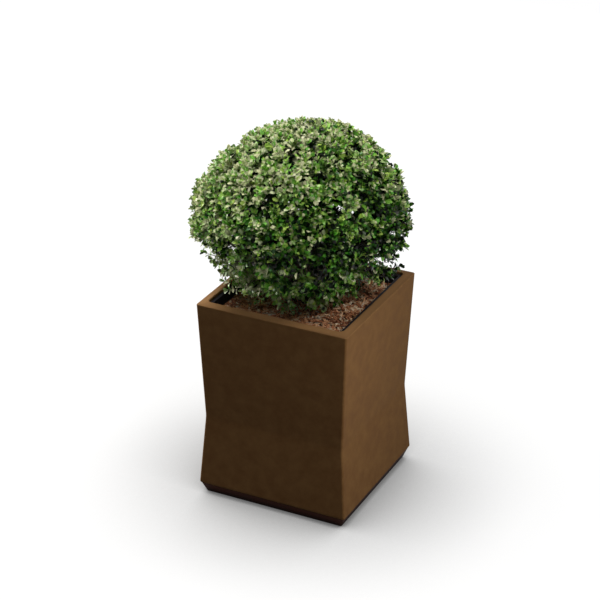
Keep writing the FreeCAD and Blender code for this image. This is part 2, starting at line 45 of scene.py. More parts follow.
# The photograph's camera, solved from the corners of the square shell. Its place is given along its
# own right, up and back, in a unit of 0.61 m, from a point a little above the ground.
CAMERA_TURN = math.radians(26.3671)
CAMERA_RISE = math.radians(26.3843)
CAMERA_ROLL = math.radians(0.1827)
CAMERA_PLACE = (-0.0417, 1.1176, 12.8802)
CAMERA_UNIT = 0.61
CAMERA_GROUND = 0.0017
CAMERA_LENS_MM = 119.65

# Level directions towards the photograph's right and towards its viewer
TO_RIGHT = Vector((math.cos(CAMERA_TURN), math.sin(CAMERA_TURN), 0))
TO_VIEWER = Vector((math.sin(CAMERA_TURN), -math.cos(CAMERA_TURN), 0))

# Leaves and chips take their colours from a chart of CHART by CHART squares: each is mapped into one
# square, a little inside its edges.
CHART = 8
CHART_EDGE = 0.04


# Small helpers
def linear(hex_colour):
    """An sRGB hex colour as the linear numbers that Blender's sockets take."""
    shares = [int(hex_colour[place : place + 2], 16) / 255 for place in (1, 3, 5)]
    return (*(s / 12.92 if s <= 0.04045 else ((s + 0.055) / 1.055) ** 2.4 for s in shares), 1)


def feed(tree, node, **links):
    """Link outputs to a node's inputs, which are named, or numbered as _0, _1 and so on."""
    for name, source in links.items():
        place = int(name[1:]) if name[1:].isdigit() else name.replace("_", " ")
        tree.links.new(source, node.inputs[place])


def add_node(tree, kind, settings=None, **links):
    """Add a node; settings are its properties or input values, and links feed its inputs."""
    node = tree.nodes.new(kind)
    for name, value in (settings or {}).items():
        if isinstance(name, str) and hasattr(node, name):
            setattr(node, name, value)
        else:
            node.inputs[name].default_value = value
    feed(tree, node, **links)
    return node


def math_node(tree, operation, settings=None, **links):
    """Add a math node and return its result."""
    settings = {"operation": operation, **(settings or {})}
    return add_node(tree, "ShaderNodeMath", settings, **links).outputs[0]


def mix_shaders(tree, share, first, second):
    """The first shader where the share is 0, the second where it is 1."""
    return add_node(tree, "ShaderNodeMixShader", _0=share, _1=first, _2=second).outputs[0]


def own_place(tree):
    """Places on the piece itself, so that a finish moves with it."""
    return add_node(tree, "ShaderNodeTexCoord").outputs["Object"]


def add_bump(tree, surface, strength, depth, height):
    """Let a height, in shares of a depth in metres, tilt the surface's shading."""
    bump = add_node(tree, "ShaderNodeBump", {"Strength": strength, "Distance": depth}, Height=height)
    feed(tree, surface, Normal=bump.outputs[0])


def colour_steps(tree, source, steps):
    """A colour ramp from (place, hex colour) pairs."""
    ramp = add_node(tree, "ShaderNodeValToRGB", Fac=source)
    elements = ramp.color_ramp.elements
    while len(elements) < len(steps):
        elements.new(0.5)
    for element, (place, colour) in zip(elements, steps):
        element.position = place
        element.color = linear(colour)
    return ramp.outputs["Color"]


def new_material(name):
    """An empty material with its surface shader, and its node tree."""
    material = bpy.data.materials.new(name)
    material.use_nodes = True
    tree = material.node_tree
    surface = next(n for n in tree.nodes if n.type == "BSDF_PRINCIPLED")
    return material, tree, surface


def finish_piece(piece, body, slot, material, *nodes):
    """Give a piece its finish, the body it rides on and the nodes it stands for."""
    if material.name not in [m.name for m in piece.data.materials if m]:
        piece.data.materials.append(material)
    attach(piece, body)
    if nodes:
        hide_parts(*nodes)


def new_piece(name, data):
    """An object at the world's origin, linked to the scene."""
    piece = bpy.data.objects.new(name, data)
    bpy.context.scene.collection.objects.link(piece)
    return piece


def kept_mesh(name, bm, *materials):
    """Keep a bmesh as a mesh, and free it."""
    mesh = bpy.data.meshes.new(name)
    bm.to_mesh(mesh)
    bm.free()
    for material in materials:
        mesh.materials.append(material)
    return mesh


def mesh_of(name, bm):
    """Merge a bmesh's doubles, turn its faces outwards, smooth it and keep it as a mesh."""
    bmesh.ops.remove_doubles(bm, verts=bm.verts, dist=0.00002)
    bmesh.ops.recalc_face_normals(bm, faces=bm.faces)
    for face in bm.faces:
        face.smooth = True
    return kept_mesh(name, bm)


# Stage: camera, light and floor
def set_camera():
    """The photograph's view."""
    back = TO_VIEWER * math.cos(CAMERA_RISE) + Vector((0, 0, math.sin(CAMERA_RISE)))
    up = TO_RIGHT.cross(back) * -1
    right = math.cos(CAMERA_ROLL) * TO_RIGHT + math.sin(CAMERA_ROLL) * up
    up = -math.sin(CAMERA_ROLL) * TO_RIGHT + math.cos(CAMERA_ROLL) * up
    place = right * CAMERA_PLACE[0] + up * CAMERA_PLACE[1] + back * CAMERA_PLACE[2]
    place = place * CAMERA_UNIT + Vector((0, 0, CAMERA_GROUND))
    data = bpy.data.cameras.new("camera")
    data.sensor_width = 36
    data.lens = CAMERA_LENS_MM
    camera = bpy.data.objects.new("camera", data)
    bpy.context.scene.collection.objects.link(camera)
    camera.matrix_world = Matrix.Translation(place) @ Matrix((right, up, back)).transposed().to_4x4()
    bpy.context.scene.camera = camera
    bpy.context.scene.view_settings.view_transform = "Standard"


def looked_at(tree):
    """1 for what the camera sees directly, in a reflection or through glass."""
    path = add_node(tree, "ShaderNodeLightPath").outputs
    clear = math_node(tree, "MAXIMUM", _0=path["Is Glossy Ray"], _1=path["Is Transmission Ray"])
    return math_node(tree, "MAXIMUM", _0=path["Is Camera Ray"], _1=clear)


def set_light():
    """Broad lamps and a dim sky, before a plain white background."""
    world = bpy.data.worlds.new("studio")
    bpy.context.scene.world = world
    world.use_nodes = True
    tree = world.node_tree
    tree.nodes.clear()
    dim = add_node(tree, "ShaderNodeBackground", {"Color": linear("#eef3ff"), "Strength": 0.03})
    white = add_node(tree, "ShaderNodeBackground", {"Color": (1, 1, 1, 1), "Strength": 1})
    mixed = mix_shaders(tree, looked_at(tree), dim.outputs[0], white.outputs[0])
    add_node(tree, "ShaderNodeOutputWorld", Surface=mixed)

    # Name, direction from the planter's rim, distance and width in metres, and power in watts
    lamps = (
        ("right_lamp", Vector((0.71, -0.05, 0.7)), 3.3, 1.1, 44),
        ("near_lamp", Vector((0.96, -0.28, -0.12)), 1.35, 0.5, 5.0),
        ("left_lamp", Vector((-0.98, -0.03, 0.06)), 2.2, 1.0, 38),
        ("top_lamp", Vector((-0.42, -0.03, 0.9)), 3.3, 1.1, 84),
        ("front_lamp", Vector((0.0, -0.57, 0.82)), 2.7, 0.9, 15.5),
    )
    lamp_height = 0.8
    for name, direction, distance, width, power in lamps:
        data = bpy.data.lights.new(name, "AREA")
        data.shape = "DISK"
        data.size = width
        data.energy = power
        data.color = linear("#fffaf2")[:3]
        lamp = bpy.data.objects.new(name, data)
        lamp.location = Vector((0, 0, lamp_height)) + direction.normalized() * distance
        lamp.rotation_mode = "QUATERNION"
        lamp.rotation_quaternion = direction.to_track_quat("Z", "Y")
        lamp.visible_camera = False
        bpy.context.scene.collection.objects.link(lamp)


def set_floor():
    """A white floor with a painted contact shadow near the planter; it keeps a little of the lamps' own
    shadow and throws little light back on the planter.
    """
    material = bpy.data.materials.new("studio_floor_matt_paint")
    material.use_nodes = True
    tree = material.node_tree
    tree.nodes.clear()
    # Ambient occlusion dims the floor's glow where the planter shelters it: a painted shadow.
    shelter = add_node(tree, "ShaderNodeAmbientOcclusion", {"samples": 16, "Distance": 0.6})
    painted_shadow_glow = add_node(
        tree,
        "ShaderNodeMapRange",
        {"From Min": 0.36, "From Max": 1.0, "To Min": 0.14, "To Max": 1.0},
        Value=shelter.outputs["AO"],
    )
    glow = add_node(tree, "ShaderNodeEmission", {"Color": (1, 1, 1, 1)}, Strength=painted_shadow_glow.outputs[0])
    paint = add_node(tree, "ShaderNodeBsdfDiffuse", {"Color": linear("#f2f2f2")})
    shown = add_node(tree, "ShaderNodeMixShader", {0: 0.09}, _1=glow.outputs[0], _2=paint.outputs[0])
    white = add_node(tree, "ShaderNodeEmission", {"Color": (1, 1, 1, 1), "Strength": 1.05})
    reach = add_node(tree, "ShaderNodeVectorMath", {"operation": "LENGTH"}, Vector=own_place(tree))
    far = add_node(
        tree,
        "ShaderNodeMapRange",
        {"interpolation_type": "SMOOTHSTEP", "From Min": 0.6, "From Max": 1.5},
        Value=reach.outputs["Value"],
    )
    shown = mix_shaders(tree, far.outputs[0], shown.outputs[0], white.outputs[0])
    dull = add_node(tree, "ShaderNodeBsdfDiffuse", {"Color": linear("#606060")})
    mixed = mix_shaders(tree, looked_at(tree), dull.outputs[0], shown)
    add_node(tree, "ShaderNodeOutputMaterial", Surface=mixed)
    bm = bmesh.new()
    bmesh.ops.create_grid(bm, x_segments=1, y_segments=1, size=6)
    floor = new_piece("studio_floor", mesh_of("studio_floor", bm))
    floor.data.materials.append(material)


# Finishes
def moulded_plastic(name, dark, light, rough, grain_mm, blotch_mm, bump, gloss_level=0.3, painted_top_light=None):
    """Pigmented plastic from a mould: cloudy pigment, a fine stippled skin and uneven gloss.

    painted_top_light gives the height in metres above which a painted light makes the plastic paler, for
    the rim's top, and that paler colour."""
    material, tree, surface = new_material(name)
    place = own_place(tree)
    cloud = add_node(
        tree,
        "ShaderNodeTexNoise",
        {"Scale": 1000 / blotch_mm, "Detail": 4, "Roughness": 0.55},
        Vector=place,
    )
    stipple = add_node(
        tree,
        "ShaderNodeTexNoise",
        {"Scale": 1000 / grain_mm, "Detail": 3, "Roughness": 0.6},
        Vector=place,
    )
    both = math_node(tree, "MULTIPLY_ADD", {1: 0.3}, _0=stipple.outputs["Fac"], _2=cloud.outputs["Fac"])
    colour = colour_steps(tree, both, ((0.45, dark), (0.85, light)))
    # Above the given height the plastic's colour is painted paler: painted light on the rim's top.
    if painted_top_light:
        level = add_node(tree, "ShaderNodeSeparateXYZ", Vector=place)
        painted_light_share = add_node(
            tree,
            "ShaderNodeMapRange",
            {"From Min": painted_top_light[0] - 0.004, "From Max": painted_top_light[0] + 0.004},
            Value=level.outputs["Z"],
        )
        mixed = add_node(
            tree,
            "ShaderNodeMix",
            {"data_type": "RGBA", 7: linear(painted_top_light[1])},
            _0=painted_light_share.outputs[0],
            _6=colour,
        )
        colour = mixed.outputs[2]
    gloss = add_node(
        tree,
        "ShaderNodeMapRange",
        {"From Min": 0.3, "From Max": 0.7, "To Min": rough - 0.06, "To Max": rough + 0.06},
        Value=cloud.outputs["Fac"],
    )
    feed(tree, surface, Base_Color=colour, Roughness=gloss.outputs[0])
    add_bump(tree, surface, bump, grain_mm * MM * 0.3, stipple.outputs["Fac"])
    surface.inputs["Specular IOR Level"].default_value = gloss_level
    return material


def worked_metal(name, tint, rough, line_mm):
    """Turned or rolled metal: fine tool lines round the part and a patchy, slightly dull gloss."""
    material, tree, surface = new_material(name)
    place = own_place(tree)
    lines = add_node(
        tree,
        "ShaderNodeTexWave",
        {"bands_direction": "Z", "Scale": 1000 / line_mm / 6.28, "Distortion": 0.6, "Detail": 1},
        Vector=place,
    )
    patches = add_node(tree, "ShaderNodeTexNoise", {"Scale": 220, "Detail": 3}, Vector=place)
    colour = colour_steps(tree, patches.outputs["Fac"], ((0.3, tint[0]), (0.7, tint[1])))
    gloss = add_node(
        tree,
        "ShaderNodeMapRange",
        {"From Min": 0.3, "From Max": 0.7, "To Min": rough - 0.08, "To Max": rough + 0.1},
        Value=patches.outputs["Fac"],
    )
    feed(tree, surface, Base_Color=colour, Roughness=gloss.outputs[0])
    add_bump(tree, surface, 0.25, 0.2 * MM, lines.outputs["Fac"])
    surface.inputs["Metallic"].default_value = 1
    return material


def crumbly(name, steps, grain_mm, rough, bump_mm):
    """Loose natural matter, such as soil or matted roots: crumbs of several colours, quite matt."""
    material, tree, surface = new_material(name)
    place = own_place(tree)
    crumbs = add_node(tree, "ShaderNodeTexVoronoi", {"Scale": 1000 / grain_mm}, Vector=place)
    dust = add_node(tree, "ShaderNodeTexNoise", {"Scale": 3000 / grain_mm, "Detail": 4}, Vector=place)
    shade = math_node(tree, "MULTIPLY_ADD", {1: 0.6}, _0=dust.outputs["Fac"], _2=crumbs.outputs["Distance"])
    feed(tree, surface, Base_Color=colour_steps(tree, shade, steps))
    add_bump(tree, surface, 0.8, bump_mm * MM, shade)
    surface.inputs["Roughness"].default_value = rough
    return material


def felted_fleece():
    """Needle-punched polypropylene fleece: a soft dark felt of short crossing fibres."""
    material, tree, surface = new_material("needle_punched_fleece")
    place = own_place(tree)
    fibres = []
    for turn in (20, 75, 140):
        turned = add_node(
            tree,
            "ShaderNodeMapping",
            {"Rotation": (0, 0, math.radians(turn)), "Scale": (1000 / 1.2, 1000 / 14, 1000 / 3)},
            Vector=place,
        )
        fibre = add_node(tree, "ShaderNodeTexNoise", {"Scale": 1, "Detail": 2}, Vector=turned.outputs[0])
        fibres.append(fibre.outputs["Fac"])
    crossed = math_node(tree, "ADD", _0=math_node(tree, "ADD", _0=fibres[0], _1=fibres[1]), _1=fibres[2])
    share = math_node(tree, "MULTIPLY", {1: 0.333}, _0=crossed)
    feed(tree, surface, Base_Color=colour_steps(tree, share, ((0.35, "#26262a"), (0.65, "#56565c"))))
    add_bump(tree, surface, 0.7, 0.6 * MM, share)
    surface.inputs["Roughness"].default_value = 0.95
    surface.inputs["Sheen Weight"].default_value = 0.2
    return material


def chart_place(tree):
    """The square of the colour chart that a face is mapped to, and the place inside that square."""
    uv = add_node(tree, "ShaderNodeUVMap", {"uv_map": "OFBake"}).outputs[0]
    grown = add_node(tree, "ShaderNodeVectorMath", {"operation": "SCALE", "Scale": CHART}, Vector=uv)
    square = add_node(tree, "ShaderNodeVectorMath", {"operation": "FLOOR"}, Vector=grown.outputs[0])
    inside = add_node(tree, "ShaderNodeVectorMath", {"operation": "FRACTION"}, Vector=grown.outputs[0])
    return square.outputs[0], inside.outputs[0]


def square_chance(tree, square):
    """A random share for each square of the chart."""
    chance = add_node(tree, "ShaderNodeTexWhiteNoise", {"noise_dimensions": "2D"}, Vector=square)
    return chance.outputs["Value"]


def bark_finish():
    """Shredded pine bark: corky chips from mid brown to near white, paler than bark is, which is partly
    painted light lifting them out of the crown's shade, with fibres along each chip.
    """
    material, tree, surface = new_material("shredded_pine_bark")
    square, inside = chart_place(tree)
    # The tones are partly painted light: paler than bark, to lift the chips out of the crown's shade.
    tone = colour_steps(
        tree,
        square_chance(tree, square),
        ((0.0, "#8a5234"), (0.3, "#cc855a"), (0.55, "#e8ac80"), (0.8, "#fad2aa"), (1.0, "#fff4de")),
    )
    long_way = add_node(tree, "ShaderNodeMapping", {"Scale": (3, 22, 1)}, Vector=inside)
    fibre = add_node(tree, "ShaderNodeTexNoise", {"Scale": 1, "Detail": 3}, Vector=long_way.outputs[0])
    shade = colour_steps(tree, fibre.outputs["Fac"], ((0.3, "#6e6660"), (0.65, "#ffffff")))
    mixed = add_node(
        tree,
        "ShaderNodeMix",
        {"data_type": "RGBA", "blend_type": "MULTIPLY", 0: 0.8},
        _6=tone,
        _7=shade,
    )
    feed(tree, surface, Base_Color=mixed.outputs[2])
    surface.inputs["Roughness"].default_value = 0.82
    return material


def leaf_finish():
    """Small evergreen leaves: a waxy skin, a paler midrib and margin, and greens from near black to pale,
    whose rows carry painted light, shade and highlight as well as the leaves' own tones.
    """
    material, tree, surface = new_material("evergreen_leaf_waxy")
    square, inside = chart_place(tree)
    column_row = add_node(tree, "ShaderNodeSeparateXYZ", Vector=square).outputs
    # The chart's rows run from near black, painted shade, to pale yellow-green, painted light and
    # highlight; each leaf's row is set by where it stands and by chance.
    tone = colour_steps(
        tree,
        math_node(tree, "DIVIDE", {1: CHART - 1}, _0=column_row["Y"]),
        ((0.0, "#0b1806"), (0.25, "#386a1c"), (0.5, "#88cc42"), (0.75, "#c8fc7c"), (1.0, "#f4ffcc")),
    )
    hue = add_node(
        tree,
        "ShaderNodeMapRange",
        {"From Min": 0, "From Max": 1, "To Min": 0.475, "To Max": 0.535},
        Value=square_chance(tree, square),
    )
    turned = add_node(tree, "ShaderNodeHueSaturation", {"Saturation": 1.0}, Hue=hue.outputs[0], Color=tone)
    across = add_node(tree, "ShaderNodeSeparateXYZ", Vector=inside).outputs["X"]
    from_rib = math_node(tree, "ABSOLUTE", _0=math_node(tree, "SUBTRACT", {1: 0.5}, _0=across))
    rib = colour_steps(
        tree,
        from_rib,
        ((0.0, "#ffffff"), (0.035, "#c9c9c9"), (0.3, "#b4b4b4"), (0.43, "#d8d8d8")),
    )
    shaded = add_node(
        tree,
        "ShaderNodeMix",
        {"data_type": "RGBA", "blend_type": "MULTIPLY", 0: 1.0},
        _6=turned.outputs[0],
        _7=rib,
    )
    # The chart's first square is for stalks
    steps_away = math_node(tree, "ADD", _0=column_row["X"], _1=column_row["Y"])
    is_stalk = math_node(tree, "LESS_THAN", {1: 0.5}, _0=steps_away)
    mixed = add_node(
        tree,
        "ShaderNodeMix",
        {"data_type": "RGBA", 7: linear("#4a3a24")},
        _0=is_stalk,
        _6=shaded.outputs[2],
    )
    feed(tree, surface, Base_Color=mixed.outputs[2])
    surface.inputs["Roughness"].default_value = 0.3
    surface.inputs["Specular IOR Level"].default_value = 0.2
    surface.inputs["IOR"].default_value = 1.45
    return material


def twig_finish():
    """Thin shrub wood: purplish brown bark with lengthwise cracks and paler patches."""
    material, tree, surface = new_material("shrub_bark")
    grain = {"Scale": (1000 / 4, 1000 / 4, 1000 / 22)}
    stretched = add_node(tree, "ShaderNodeMapping", grain, Vector=own_place(tree))
    cracks = add_node(tree, "ShaderNodeTexNoise", {"Scale": 1, "Detail": 4}, Vector=stretched.outputs[0])
    tones = ((0.35, "#2a1d1a"), (0.55, "#4c3a32"), (0.72, "#7d675b"))
    feed(tree, surface, Base_Color=colour_steps(tree, cracks.outputs["Fac"], tones))
    add_bump(tree, surface, 0.5, 0.8 * MM, cracks.outputs["Fac"])
    surface.inputs["Roughness"].default_value = 0.75
    return material


# Shell
CORNER_STEPS = 6
ARC_END_GAP = 1.0


def ring_places(half, radius, height):
    """Points round a square with rounded corners, given in millimetres.

    A further point stands beside each end of each corner's arc, so that the sides shade flat."""
    centre = half - radius
    beside = min(ARC_END_GAP, centre / 2)
    places = []
    for quarter in range(4):
        start = math.pi / 2 * quarter
        middle = Vector((centre, centre, height))
        arc = []
        for step in range(CORNER_STEPS + 1):
            turn = math.pi / 2 * step / CORNER_STEPS
            arc.append(middle + radius * Vector((math.cos(turn), math.sin(turn), 0)))
        arc.insert(0, arc[0] - Vector((0, beside, 0)))
        arc.append(arc[-1] - Vector((beside, 0, 0)))
        places += [(Matrix.Rotation(start, 3, "Z") @ point) * MM for point in arc]
    return places


def first_ring(bm, station):
    """A closed ring of points at a station, which is a half width, a corner radius and a height."""
    places = ring_places(*station)
    made = bmesh.ops.create_circle(bm, segments=len(places), radius=1)["verts"]
    ring = sorted(made, key=lambda v: math.atan2(v.co.y, v.co.x) % (2 * math.pi))
    for vert, place in zip(ring, places):
        vert.co = place
    return ring


def next_ring(bm, ring, station):
    """Extrude the last ring to the next station."""
    edges = [bm.edges.get((a, b)) for a, b in zip(ring, ring[1:] + ring[:1])]
    made = set(bmesh.ops.extrude_edge_only(bm, edges=edges)["geom"])
    follower = []
    for vert in ring:
        follower.append(next(e.other_vert(vert) for e in vert.link_edges if e.other_vert(vert) in made))
    for vert, place in zip(follower, ring_places(*station)):
        vert.co = place
    return follower


def ring_skin(bm, stations):
    """A skin through all the stations; the last ring is returned."""
    ring = first_ring(bm, stations[0])
    for station in stations[1:]:
        ring = next_ring(bm, ring, station)
    return ring


# Half widths and heights of the shell's outside, and the radius of its corners, in millimetres
HEM_HALF, WAIST_HALF, RIM_HALF = 309, 288.5, 308
HEM_HEIGHT, WAIST_HEIGHT, RIM_HEIGHT = 52, 334, 812
CORNER = 8


def shell_stations():
    """Stations round the shell's section, up its outside and down its inside, in millimetres."""
    stations = [(295, 6, 44)]
    # The turn under the hem
    hem_turn = 8
    for step in range(6):
        turn = math.pi / 2 * step / 5
        inset = 6 * (1 - math.sin(turn))
        stations.append((HEM_HALF - inset, CORNER - inset / 2, HEM_HEIGHT - hem_turn * math.cos(turn)))
    # The two slopes of a side, and the soft crease of the waist between them
    low_slope = (WAIST_HALF - HEM_HALF) / (WAIST_HEIGHT - HEM_HEIGHT)
    high_slope = (RIM_HALF - WAIST_HALF) / (RIM_HEIGHT - WAIST_HEIGHT)
    reach = 12
    stations.append((HEM_HALF + low_slope * 2, CORNER, HEM_HEIGHT + 2))
    stations.append((WAIST_HALF - low_slope * (reach + 2), CORNER, WAIST_HEIGHT - reach - 2))
    for step in range(7):
        along = 2 * reach * step / 6
        bend = (high_slope - low_slope) * along**2 / (4 * reach)
        half = WAIST_HALF - low_slope * reach + low_slope * along + bend
        stations.append((half, CORNER, WAIST_HEIGHT - reach + along))
    stations.append((WAIST_HALF + high_slope * (reach + 2), CORNER, WAIST_HEIGHT + reach + 2))
    stations.append((RIM_HALF - high_slope * 4.5, CORNER, 807.5))
    # The rim: its rounded outer edge, its slope, its level strip and its rounded mouth
    for step in range(6):
        turn = math.radians(-2.3 + 79.8 * step / 5)
        half = 304.9 + 3 * math.cos(turn)
        stations.append((half, CORNER + (RIM_HALF - half) / 1.8, 809.6 + 3 * math.sin(turn)))
    stations += [(304.5, 9.9, 812.8), (282, 22.4, 817.8), (281, 23, 818), (279.5, 21.5, 818)]
    for step in range(5):
        turn = math.pi / 2 * step / 4
        half = 278.5 - 2.5 * math.sin(turn)
        stations.append((half, half - 258, 815.5 + 2.5 * math.cos(turn)))
    # The ledge that carries the liner, and the rim's hollow underside
    stations += [(276, 18, 814.5), (276, 18, 805), (276, 18, 804), (275, 17, 804), (267, 9, 804)]
    stations += [(266, 8, 803), (266, 8, 799), (267, 9, 798), (281, 23, 798), (282, 24, 799)]
    stations += [(282, 24, 811), (283, 23.5, 812), (287, 23, 812), (301, 5, 806.4), (302, 4, 805.4)]
    # The inside of the wall, the floor and the drain's hole
    stations += [(301.9, 4, 803), (283.3, 4, 350), (282.5, 4, 334), (283.6, 4, 318), (302.9, 4, 60)]
    stations += [(303, 4, 58), (297.5, 4, 50.6), (296, 4, 50), (17.5, 17.5, 50), (16.5, 16.5, 49)]
    stations += [(16.5, 16.5, 45), (17.5, 17.5, 44), stations[0]]
    return stations


def make_shell():
    """The shell, with a boss on its floor over each screw of the plinth."""
    bm = bmesh.new()
    ring_skin(bm, shell_stations())
    screw_side, screw_reach, boss_middle, boss_top = 150, 266.5, 55.8, 60
    for quarter in range(4):
        for side in (-screw_side, screw_side):
            place = Matrix.Translation(Vector((side, -screw_reach, boss_middle)) * MM)
            boss = bmesh.ops.create_cone(
                bm,
                cap_ends=True,
                segments=24,
                radius1=9 * MM,
                radius2=8 * MM,
                depth=12 * MM,
                matrix=Matrix.Rotation(math.pi / 2 * quarter, 4, "Z") @ place,
            )["verts"]
            edges = {e for v in boss for e in v.link_edges}
            top = [e for e in edges if all(v.co.z > boss_top * MM for v in e.verts)]
            bmesh.ops.bevel(
                bm,
                geom=top,
                offset=0.8 * MM,
                segments=2,
                profile=0.5,
                affect="EDGES",
                material=-1,
            )
    shell = new_piece("moulded_shell", mesh_of("moulded_shell", bm))
    plastic = moulded_plastic(
        "rotomoulded_polyethylene",
        "#674829",
        "#785937",
        rough=0.72,
        grain_mm=1.6,
        blotch_mm=45,
        bump=0.22,
        gloss_level=0.08,
        # The rim's top is painted paler above 0.811 m: painted light.
        painted_top_light=(0.811, "#8a6845"),
    )
    finish_piece(shell, "planter_body", "shell", plastic, "outer_shell")


def make_flare(plastic):
    """The plinth's sloping outer face, from the shell's lower edge in to the ground, in the plinth's
    near-black plastic, which is partly painted shade.
    """
    bm = bmesh.new()
    section = ((289.3, 3.4), (304.4, 42.4), (305, 43), (305, 43.9), (289.3, 43.9), (289.3, 3.4))
    ring_skin(bm, [(half, CORNER, height) for half, height in section])
    flare = new_piece("plinth_flare", mesh_of("plinth_flare", bm))
    finish_piece(flare, "planter_body", "plinth", plastic)


# Bark chips on the soil: their number of forms, and their bed's half width and height in millimetres
CHIP_MESHES = 64
BED_HALF = 256
BED_TOP = 773


def charted_bmesh():
    """A new bmesh with the map that the colour chart is read by."""
    bm = bmesh.new()
    bm.loops.layers.uv.new("OFBake")
    return bm


def map_square(bm, faces, column, row, place):
    """Map faces into one square of the colour chart; place gives a point's spot inside it."""
    layer = bm.loops.layers.uv["OFBake"]
    span = 1 - 2 * CHART_EDGE
    for face in faces:
        for loop in face.loops:
            u, v = (CHART_EDGE + span * share for share in place(loop.vert))
            loop[layer].uv = ((column + u) / CHART, (row + v) / CHART)


def chip_mesh(number, bark):
    """One bark chip: a thin bent splinter with torn ends."""
    length = random.uniform(12, 34) * MM
    width = random.uniform(4, 10) * MM
    thick = random.uniform(1.5, 4) * MM
    bm = charted_bmesh()
    bmesh.ops.create_cube(bm, size=1)
    ends = [e for e in bm.edges if abs(e.verts[0].co.x - e.verts[1].co.x) > 0.5]
    bmesh.ops.subdivide_edges(bm, edges=ends, cuts=1, use_grid_fill=True)
    bend = random.uniform(-0.25, 0.35)
    for vert in bm.verts:
        along = vert.co.x * 2
        vert.co.y *= 1 - 0.35 * abs(along) + random.uniform(-0.15, 0.15)
        vert.co.z = vert.co.z * random.uniform(0.6, 1.1) + bend * (1 - along * along)
        vert.co.x += random.uniform(-0.09, 0.09)
    column, row = number % CHART, (number * 5 + number // CHART) % CHART

    def spot(vert):
        return tuple(min(max(vert.co[axis] + 0.5, 0), 1) for axis in (0, 1))

    map_square(bm, bm.faces, column, row, spot)
    bmesh.ops.scale(bm, vec=(length, width, thick), verts=bm.verts)
    return kept_mesh(f"chip_{number}", bm, bark)


def joined(name, placed, material):
    """Join copies of meshes, given as (mesh, matrix) pairs, into one piece at the origin."""
    piece = new_piece(name, kept_mesh(name, charted_bmesh(), material))
    copies = []
    for mesh, matrix in placed:
        copy = new_piece("copy", mesh)
        copy.matrix_world = matrix
        copies.append(copy)
    bpy.context.view_layer.update()
    chosen = [piece, *copies]
    with bpy.context.temp_override(active_object=piece, object=piece, selected_editable_objects=chosen):
        bpy.ops.object.join()
    return piece


def bed_height(x, y):
    """The bark bed's level in millimetres: low lumps, and a dip where the stems stand."""
    dip = 14 * max(0, 1 - math.hypot(x, y) / 90)
    return BED_TOP + 4 * noise.noise(Vector((x / 60, y / 60, 0))) - dip


def make_bark():
    """Loose chips in three layers, inside the liner's walls, on a bed of finer bark."""
    finish = bark_finish()
    chips = [chip_mesh(number, finish) for number in range(CHIP_MESHES)]
    layers = ((-5, 1300), (0, 1500), (3.5, 1100))
    placed = []
    for layer, count in layers:
        for _ in range(count):
            angle = random.uniform(0, 2 * math.pi)
            chip = random.choice(chips)
            long, wide = (max(abs(v.co[axis]) for v in chip.vertices) / MM for axis in (0, 1))
            room_x = BED_HALF - long * abs(math.cos(angle)) - wide * abs(math.sin(angle))
            room_y = BED_HALF - long * abs(math.sin(angle)) - wide * abs(math.cos(angle))
            x, y = random.uniform(-room_x, room_x), random.uniform(-room_y, room_y)
            turn = Matrix.Rotation(angle, 4, "Z")
            pitch = Matrix.Rotation(random.gauss(0, 0.34), 4, "Y")
            roll = Matrix.Rotation(random.gauss(0, 0.4), 4, "X")
            height = bed_height(x, y) + layer + random.uniform(-1.5, 2)
            place = Matrix.Translation(Vector((x, y, height)) * MM)
            placed.append((chip, place @ turn @ (pitch @ roll)))
    finish_piece(joined("bark_chips", placed, finish), "planted_liner", "bark", finish, "mulch")

    bm = bmesh.new()
    stations = [(BED_HALF, 7, 750), (257, 7, 770), (251, 7, 772), (160, 60, 772)]
    ring_skin(bm, stations + [(90, 80, 771), (62, 62, 762), (61, 61, 750), stations[0]])
    long_edges = [e for e in bm.edges if e.calc_length() > 20 * MM]
    bmesh.ops.subdivide_edges(bm, edges=long_edges, cuts=3, use_grid_fill=True)
    for vert in bm.verts:
        if vert.co.z > 761 * MM:
            vert.co.z = min(vert.co.z, (bed_height(vert.co.x / MM, vert.co.y / MM) - 4) * MM)
    bed = new_piece("bark_bed", mesh_of("bark_bed", bm))
    tones = ((0.3, "#1c120b"), (0.6, "#3a2415"), (0.9, "#5f3c24"))
    fines = crumbly("composted_bark_fines", tones, 5, 0.95, 2.5)
    finish_piece(bed, "planted_liner", "bark", fines)


# Soil, root ball and fleece, which the bark and the liner hide
def close_at(bm, level):
    """Close the open ring at a level."""
    ring = [e for e in bm.edges if e.is_boundary and abs(e.verts[0].co.z - level * MM) < 1e-5]
    bmesh.ops.contextual_create(bm, geom=ring)


def filling(name, bm, lump_mm, depth_mm, slot, finish, node):
    """Make a piece of a closed form, with its points pushed in by uneven amounts.

    None is pushed out, so the filling is never larger than its space."""
    bmesh.ops.recalc_face_normals(bm, faces=bm.faces)
    long_edges = [e for e in bm.edges if e.calc_length() > 30 * MM]
    bmesh.ops.subdivide_edges(bm, edges=long_edges, cuts=2, use_grid_fill=True)
    bm.normal_update()
    for vert in bm.verts:
        push = 0.5 + 0.5 * noise.noise(vert.co / (lump_mm * MM))
        vert.co -= vert.normal * min(max(push, 0), 1) * depth_mm * MM
    finish_piece(new_piece(name, mesh_of(name, bm)), "planted_liner", slot, finish, node)


# Heights of the soil's underside, of its well and of the root ball in it, in millimetres
SOIL_FLOOR, SOIL_WELL = 390.5, 509
ROOTS_FLOOR, ROOTS_TOP = 510, 748.8


